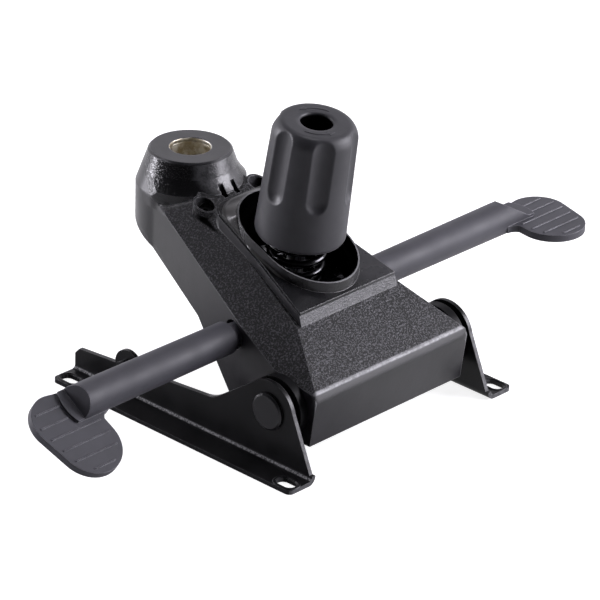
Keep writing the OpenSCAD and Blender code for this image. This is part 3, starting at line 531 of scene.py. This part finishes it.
# Embossed rims round the seat slots: a low bead carried round a stadium
rimSettings = {"slot": (4.5, 7.5), "offset": 1.5, "halfWidth": 0.95, "height": 0.5, "level": -140.0,
               "centres": ((-100, -190), (-100, 10), (100, -190), (100, 10)), "around": 96, "across": 16}


def stadium(radius, run, count):
    # points round a stadium with ends of the given radius and straights of twice the run, with outward normals
    t = np.linspace(0, 2 * np.pi, count, endpoint=False)
    out = np.stack([np.cos(t), np.sin(t)], -1)
    return out * radius + np.stack([0 * t, run * np.sign(np.sin(t) + 1e-9)], -1), out


def slotRims():
    s = rimSettings
    run = s["slot"][1] - s["slot"][0]
    path, out = stadium(s["slot"][0] + s["offset"], run, s["around"])
    b = np.linspace(0, 2 * np.pi, s["across"], endpoint=False)
    shift = s["halfWidth"] * np.cos(b)
    lift = s["height"] * np.sin(b)
    for k, (cx, cy) in enumerate(s["centres"]):
        ring = path[:, None, :] + out[:, None, :] * shift[None, :, None]
        x, y = cx + ring[..., 0], cy + ring[..., 1]
        z = s["level"] + lift[None, :] + 0 * x
        points = np.stack([x, y, z], -1) * mm
        putMesh("slotRim_" + str(k + 1), points, gridFaces(s["around"], s["across"], wrapRows=True)[:, ::-1],
                "seat_frame", "bracketPaint")


# Rounded foot of each bracket's ramp: plate under an arc of radius R that touches both edges of the web
footSettings = {"corner": (-109.93, -113.71), "ramp": 145.0, "rear": -4.86, "radius": 30.0, "sunk": 0.5,
                "sides": (83.55, 86.45), "along": 32}


def rampFeet():
    s = footSettings
    up, back = math.radians(s["ramp"]), math.radians(s["rear"])
    half = (up - back) / 2
    reach = s["radius"] / math.sin(half)
    middle = np.array(s["corner"]) + reach * np.array([math.cos(back + half), math.sin(back + half)])
    # arc: middle + R (cos a, sin a), from the ramp's touch point to the rear edge's
    a = np.linspace(up + math.pi / 2, back + 1.5 * math.pi, s["along"])
    arc = middle + s["radius"] * np.stack([np.cos(a), np.sin(a)], -1)
    # below it: the web's own edge, sunk into the plate
    tips = np.array([arc[0], s["corner"], arc[-1]])
    edge = np.stack([arc[:, 0], np.interp(arc[:, 0], tips[:, 0], tips[:, 1]) - s["sunk"]], -1)
    for k, side in enumerate((-1, 1)):
        near, far = (side * x for x in s["sides"])
        ring = [(near, arc), (far, arc), (far, edge), (near, edge)]
        points = np.stack([np.column_stack([np.full(s["along"], x), line]) for x, line in ring], 1) * mm
        faces = gridFaces(s["along"], 4).tolist()
        ends = [[3, 2, 1, 0], [4 * s["along"] - 4 + i for i in range(4)]]
        turned = faces + ends if side > 0 else [f[::-1] for f in faces + ends]
        piece = putMesh("rampFoot_" + str(k + 1), points, turned, "seat_frame",
                        "bracketPaint")
        piece.data.polygons.foreach_set("use_smooth", np.zeros(len(piece.data.polygons), bool))


# Bright lip of the socket's sleeve, up to just under the boss face
lipSettings = {
    "section": [(14.02, -0.02), (14.46, -0.02), (14.46, 2.55), (14.3, 2.7), (14.14, 2.7), (14.02, 2.5)],
    "around": 128,
}


def sleeveLip():
    s = lipSettings
    section = np.array(s["section"])
    a = np.linspace(0, 2 * np.pi, s["around"], endpoint=False)[None, :]
    r, h = section[:, :1], section[:, 1:]
    points = np.stack([r * np.cos(a), r * np.sin(a), h + 0 * a], -1) * mm
    putMesh("sleeveLip", points, gridFaces(len(section), s["around"], wrapRows=True), "casing_unit",
            "sleeveBrass")


# Flare round the foot of the spring cover's collar: a ramp eased at its foot, as wide as the cover allows
filletSettings = {
    "collar": 34.0, "centres": (-110.0, -92.0), "plane": (5.4, 0.4), "widest": 11.0, "narrowest": 0.1,
    "margin": 0.4, "tallest": 6.0, "steep": 0.8, "sunk": (-0.5, -0.3), "around": 240, "across": 14,
    "cover": [(45.2, -146.6), (35.2, -98.0), (30.2, -61.0), (29.0, -55.4), (25.5, -51.5), (19.0, -49.8)],
}


def edgeRun(points, out, corners):
    # distance from each point along its outward direction to a closed outline (ray against every side)
    a = np.array(corners)
    e = np.roll(a, -1, axis=0) - a
    w = a[None] - points[:, None]
    det = out[:, None, 0] * e[None, :, 1] - out[:, None, 1] * e[None, :, 0]
    det = np.where(np.abs(det) < 1e-9, 1e-9, det)
    t = (w[..., 0] * e[None, :, 1] - w[..., 1] * e[None, :, 0]) / det
    u = (w[..., 0] * out[:, None, 1] - w[..., 1] * out[:, None, 0]) / det
    return np.where((t > 0) & (u >= 0) & (u <= 1), t, 1e3).min(axis=1)


def collarFillet():
    s = filletSettings
    middle = sum(s["centres"]) / 2
    path, out = stadium(s["collar"], (s["centres"][1] - s["centres"][0]) / 2, s["around"])
    path = path + np.array([0.0, middle])
    outline = s["cover"] + [(-x, y) for x, y in reversed(s["cover"])]
    # widest behind, where the cover's end runs up to the collar
    behind = np.clip(0.35 + 1.2 * out[:, 1], 0, 1)
    least = s["narrowest"]
    wide = np.clip(edgeRun(path, out, outline) - s["margin"], least, least + (s["widest"] - least) * behind)
    # widths smoothed along the path
    wide = np.convolve(np.concatenate([wide[-6:], wide, wide[:6]]), np.ones(13) / 13, "valid").clip(least)
    tall = np.minimum(s["tallest"], s["steep"] * wide)
    # ramp: lift = tall (1 - q) over shift = wide q, eased to the flat at its foot
    q = np.linspace(1, 0, s["across"])
    slope = np.where(q > 0.8, 2.5 * (1 - q) ** 2, 0.9 - q)
    shift = np.concatenate([q, [0, 1]])[None, :] * wide[:, None]
    lift = np.concatenate([slope / 0.9, [0, 0]])[None, :] * tall[:, None]
    # inner wall and underside sunk into the collar and the cover
    shift[:, -3:-1] = s["sunk"][0]
    lift[:, -2:] = s["sunk"][1]
    ring = path[:, None, :] + out[:, None, :] * shift[..., None]
    z = s["plane"][0] + s["plane"][1] * ring[..., 1] + lift
    points = np.concatenate([ring, z[..., None]], -1) * mm
    # the flare wears the lighter copy of the cover paint: painted light
    putMesh("collarFillet", points, gridFaces(s["around"], s["across"] + 2, wrapRows=True)[:, ::-1],
            "casing_unit", "coverPaintLit")


slotRims()
rampFeet()
sleeveLip()
collarFillet()
print("rims, feet, lip and flare added")


# Light, floor and camera
viewSettings = {"azimuth": 46.97, "elevation": 26.16, "roll": 1.65, "distance": 2917.0, "right": 10.6,
                "up": 12.4, "lens": 263.46, "aim": (0.0, -90.0, -93.0)}


def photoCamera():
    v = viewSettings
    a, e, q = (math.radians(v[k]) for k in ("azimuth", "elevation", "roll"))
    back = np.array([-math.sin(a) * math.cos(e), -math.cos(a) * math.cos(e), math.sin(e)])
    right = np.array([math.cos(a), -math.sin(a), 0.0])
    up = np.cross(back, right)
    right, up = right * math.cos(q) + up * math.sin(q), up * math.cos(q) - right * math.sin(q)
    spot = (np.array(v["aim"]) + right * v["right"] + up * v["up"] + back * v["distance"]) * mm
    lens = bpy.data.cameras.new("photoCamera")
    lens.lens, lens.sensor_width, lens.sensor_fit = v["lens"], 36.0, "HORIZONTAL"
    lens.clip_start, lens.clip_end = 0.05, 50.0
    eye = bpy.data.objects.new("photoCamera", lens)
    scene.collection.objects.link(eye)
    turned = np.vstack([np.column_stack([right, up, back, spot]), [0, 0, 0, 1]])
    eye.matrix_world = mathutils.Matrix(turned.tolist())
    scene.camera = eye


floorSettings = {"height": -143.05, "half": 6.0, "paper": (0.6, 0.6, 0.6, 1), "mirrored": 0.42,
                 "dimX": (-0.05, 0.05), "dimY": (0.03, 0.12), "farX": (-0.26, -0.17),
                 "far": (0.6, 1.6), "seen": (0.8, 1.0)}


def studioFloor():
    f = floorSettings
    h, z = f["half"], f["height"] * mm
    mesh = bpy.data.meshes.new("studioFloor")
    mesh.from_pydata([(-h, -h, z), (h, -h, z), (h, h, z), (-h, h, z)], [], [(0, 1, 2, 3)])
    material, tree, shader, coord = newFinish("floorPaper")
    tree.nodes.remove(shader)
    out = tree.nodes["Material Output"]
    path = addNode(tree, "ShaderNodeLightPath")
    mirrored = largest(tree, path.outputs["Is Glossy Ray"], path.outputs["Is Transmission Ray"])
    # mirrored floor: dim ahead and far out on the left, where the room is dark
    x, y, _ = axesOf(tree, coord.outputs["Object"])
    behind = product(tree, ramp(tree, y, *f["dimY"]), ramp(tree, x, *f["farX"]))
    lit = largest(tree, ramp(tree, x, *f["dimX"]), behind)
    mirrored = product(tree, mirrored, lit, f["mirrored"])
    # seen floor: white far out, where the lamps fade
    far = ramp(tree, reachOf(tree, x, y), *f["far"], *f["seen"])
    seen = mathNode(tree, "ADD", product(tree, path.outputs["Is Camera Ray"], far), mirrored)
    paper = addNode(tree, "ShaderNodeBsdfDiffuse", {"Color": f["paper"]})
    glow = addNode(tree, "ShaderNodeEmission", {"Color": (1, 1, 1, 1), "Strength": seen})
    both = addNode(tree, "ShaderNodeAddShader", {0: paper.outputs[0], 1: glow.outputs[0]})
    tree.links.new(both.outputs[0], out.inputs["Surface"])
    mesh.materials.append(material)
    floor = bpy.data.objects.new("studioFloor", mesh)
    scene.collection.objects.link(floor)


lampColour = (0.98, 0.96, 1.04)
lampAim = (0.0, -0.1, -0.08)                             # middle of the part
lampSettings = {
    # name: place, size x, size y, power
    "leftSoft": ((-0.85, 1.35, 0.28), 0.45, 0.6, 23.0),
    "rightSoft": ((1.0, -1.15, 0.48), 0.8, 0.8, 29.0),
    "highSoft": ((1.2, -0.95, 1.1), 0.9, 0.9, 4.0),
    "topSoft": ((0.3, -0.1, 1.7), 0.6, 0.6, 7.5),
    "skySoft": ((-0.8, 1.1, 1.6), 0.35, 0.35, 4.5),
}


def studioLamps():
    for name, (place, wide, high, power) in lampSettings.items():
        lamp = bpy.data.lights.new(name, "AREA")
        lamp.shape, lamp.size, lamp.size_y, lamp.energy = "RECTANGLE", wide, high, power
        lamp.color = lampColour
        holder = bpy.data.objects.new(name, lamp)
        holder.location = place
        aim = mathutils.Vector(lampAim) - mathutils.Vector(place)
        holder.rotation_euler = aim.to_track_quat("-Z", "Y").to_euler()
        scene.collection.objects.link(holder)


# pale sweep behind the part up to about 40 degrees, dim room elsewhere
worldSettings = {"behind": (0.73, 0.68, 0.0), "edge": (0.0, 0.5), "rise": (0.78, 0.5),
                 "room": (0.03, 0.03, 0.032), "sweep": (1.03, 1.01, 1.08)}


def studioWorld():
    w = worldSettings
    world = bpy.data.worlds.new("studioWorld")
    world.use_nodes = True
    tree = world.node_tree
    ground = tree.nodes["Background"]
    out = tree.nodes["World Output"]
    path = addNode(tree, "ShaderNodeLightPath")
    way = addNode(tree, "ShaderNodeTexCoord").outputs["Generated"]
    behind = addNode(tree, "ShaderNodeVectorMath", {0: way, 1: w["behind"]}, operation="DOT_PRODUCT")
    rise = axesOf(tree, way)[2]
    sweep = product(tree, ramp(tree, behind.outputs["Value"], *w["edge"]), ramp(tree, rise, *w["rise"]))
    tree.links.new(layer(tree, sweep, w["room"], w["sweep"]), ground.inputs["Color"])
    white = addNode(tree, "ShaderNodeBackground", {"Color": (1, 1, 1, 1), "Strength": 1.0})
    pick = addNode(tree, "ShaderNodeMixShader", {0: path.outputs["Is Camera Ray"], 1: ground.outputs[0],
                   2: white.outputs[0]})
    tree.links.new(pick.outputs[0], out.inputs["Surface"])
    scene.world = world


photoCamera()
studioFloor()
studioLamps()
studioWorld()
scene.view_settings.view_transform = "Standard"
print("studio set")
